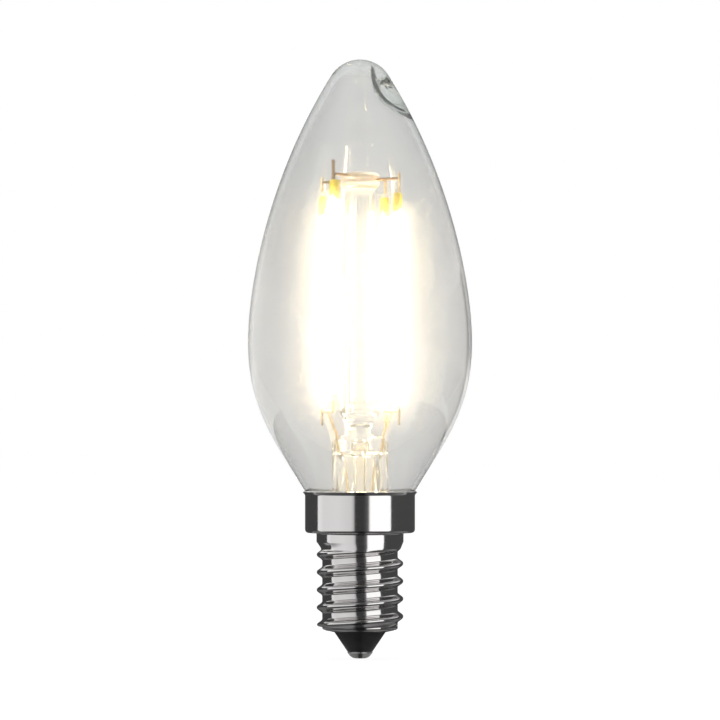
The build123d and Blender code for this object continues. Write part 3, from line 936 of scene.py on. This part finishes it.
# Soft lamps: angle, then distance, height, width and tallness in metres, and power in watts
LAMPS = (
    ("lamp_right", 44, 0.6, 0.25, 0.55, 0.6, 1.6),
    ("lamp_left", -56, 0.7, 0.35, 0.7, 0.7, 2.2),
)
LAMP_AIM = (0, 0, 0.05)

# Camera, in metres, with its lens and sensor in millimetres
CAMERA_PLACE = (0, -0.6, 0.034)
CAMERA_TILT = 91.3133
CAMERA_LENS = 187.2
CAMERA_SENSOR = 36
CAMERA_SIGHT = 20


def seen_white(tree):
    """One where the camera, a reflection or a view through glass looks."""
    path = tree.nodes.new("ShaderNodeLightPath").outputs
    direct = reckon(tree, "MAXIMUM", path["Is Camera Ray"], path["Is Glossy Ray"])
    return reckon(tree, "MAXIMUM", direct, path["Is Transmission Ray"])


def lay_floor():
    deselect_all()
    bpy.ops.mesh.primitive_plane_add(size=FLOOR_SIZE, location=(0, 0, -FLOOR_DROP))
    floor = bpy.context.object
    floor.name = "floor"
    material = bpy.data.materials.new("pale_floor")
    material.use_nodes = True
    tree = material.node_tree
    shader = tree.nodes["Principled BSDF"]
    shader.inputs["Base Color"].default_value = (*FLOOR_SHADE, 1)
    shader.inputs["Roughness"].default_value = 0.9
    shader.inputs["Specular IOR Level"].default_value = 0.0
    white = tree.nodes.new("ShaderNodeEmission")
    white.inputs["Strength"].default_value = FLOOR_WHITE
    mix = tree.nodes.new("ShaderNodeMixShader")
    tree.links.new(reckon(tree, "MULTIPLY", seen_white(tree), FLOOR_WHITE_SHARE), mix.inputs["Fac"])
    tree.links.new(shader.outputs["BSDF"], mix.inputs[1])
    tree.links.new(white.outputs["Emission"], mix.inputs[2])
    tree.links.new(mix.outputs["Shader"], tree.nodes["Material Output"].inputs["Surface"])
    floor.data.materials.append(material)


def white_surround():
    world = bpy.data.worlds.new("white_surround")
    bpy.context.scene.world = world
    world.use_nodes = True
    tree = world.node_tree
    background = tree.nodes["Background"]
    background.inputs["Color"].default_value = (1, 1, 1, 1)
    strength = spread(tree, seen_white(tree), SURROUND_LIGHT, 1.0, 0.0, 1.0)
    tree.links.new(strength, background.inputs["Strength"])


def stage_cloth(name):
    """A cloth without a colour or gloss of its own, which shows only the brightness it is given."""
    material = bpy.data.materials.new(name)
    material.use_nodes = True
    shader = material.node_tree.nodes["Principled BSDF"]
    shader.inputs["Base Color"].default_value = (0, 0, 0, 1)
    shader.inputs["Specular IOR Level"].default_value = 0
    shader.inputs["Emission Color"].default_value = (1, 1, 1, 1)
    return material, shader.inputs["Emission Strength"]


def show_only(piece, reflected, through_glass):
    """Keep a piece of the stage from the camera and from lighting or shading anything."""
    piece.visible_camera = False
    piece.visible_diffuse = False
    piece.visible_shadow = False
    piece.visible_glossy = reflected
    piece.visible_transmission = through_glass


def round_stops(cloths):
    """Stops of a ramp round the tent, whose seam is on the left."""
    stops = [((0.25 + angle / 360) % 1, shade) for angle, shade in cloths]
    seam = dict(cloths)[-90]
    return sorted(stops + [(1.0, seam)])


def hang_tent():
    """A tent that only reflections see: lit panels between dark cloths, level with the cap and above it."""
    tent = draw(
        "light_tent",
        [
            straight(at(0, TENT_FOOT), at(TENT_R, TENT_FOOT)),
            straight(at(TENT_R, TENT_FOOT), at(TENT_R, TENT_EAVES)),
            bow(at(0, TENT_EAVES), TENT_R, 0, 90),
        ],
        TENT_FINENESS,
    )
    spin_round(TENT_STEPS)
    material, brightness = stage_cloth("tent_cloth")
    material.cycles.emission_sampling = "NONE"
    tree = material.node_tree
    where = tree.nodes.new("ShaderNodeTexCoord").outputs["Object"]
    towards = steer(tree, "NORMALIZE", steer(tree, "SUBTRACT", where, (0, 0, THREAD_MIDDLE * MM)))
    around = tree.nodes.new("ShaderNodeTexGradient")
    around.gradient_type = "RADIAL"
    tree.links.new(towards, around.inputs["Vector"])
    up = height_of(tree, towards)
    blend = tree.nodes.new("ShaderNodeMix")
    blend.data_type = "RGBA"
    steep = spread(tree, reckon(tree, "ABSOLUTE", up), 0.0, 1.0, STEEP_FROM, STEEP_TO)
    tree.links.new(steep, blend.inputs["Factor"])
    tree.links.new(levels(tree, around.outputs["Fac"], *round_stops(LEVEL_CLOTHS)), blend.inputs["A"])
    tree.links.new(levels(tree, around.outputs["Fac"], *round_stops(SLANT_CLOTHS)), blend.inputs["B"])
    dim = levels(tree, spread(tree, up, 0.0, 1.0, -1.0, 1.0), *TENT_DIMMING)
    tree.links.new(reckon(tree, "MULTIPLY", blend.outputs["Result"], dim), brightness)
    tent.data.materials.append(material)
    show_only(tent, True, False)


def hang_flag(name, radius, start, end, low, high, shade, through_glass):
    """A dark flag round the bulb, seen only through its glass or only in reflections."""
    flag = draw(name, [straight(at(radius, low), at(radius, high))], FLAG_FINENESS)
    edit_all()
    bpy.ops.transform.rotate(value=math.radians(90 - start), orient_axis="Z", center_override=(0, 0, 0))
    bpy.ops.mesh.spin(steps=FLAG_STEPS, angle=math.radians(start - end), center=(0, 0, 0), axis=(0, 0, 1))
    close_edit()
    material, brightness = stage_cloth(name)
    brightness.default_value = shade
    flag.data.materials.append(material)
    show_only(flag, not through_glass, through_glass)


def soft_lamp(name, angle, distance, height, width, tall, power):
    """An area lamp beside the bulb, facing it."""
    turn = math.radians(angle)
    place = (distance * math.sin(turn), -distance * math.cos(turn), height)
    deselect_all()
    bpy.ops.object.light_add(type="AREA", location=place)
    lamp = bpy.context.object
    lamp.name = name
    lamp.data.shape = "RECTANGLE"
    lamp.data.size = width
    lamp.data.size_y = tall
    lamp.data.energy = power
    lamp.rotation_euler = (Vector(LAMP_AIM) - lamp.location).to_track_quat("-Z", "Y").to_euler()
    lamp.visible_glossy = False


def place_camera():
    deselect_all()
    bpy.ops.object.camera_add(location=CAMERA_PLACE, rotation=(math.radians(CAMERA_TILT), 0, 0))
    camera = bpy.context.object
    camera.data.lens = CAMERA_LENS
    camera.data.sensor_width = CAMERA_SENSOR
    camera.data.clip_end = CAMERA_SIGHT
    bpy.context.scene.camera = camera


lay_floor()
white_surround()
hang_tent()
for flag in FLAGS:
    hang_flag(*flag)
for lamp in LAMPS:
    soft_lamp(*lamp)
place_camera()
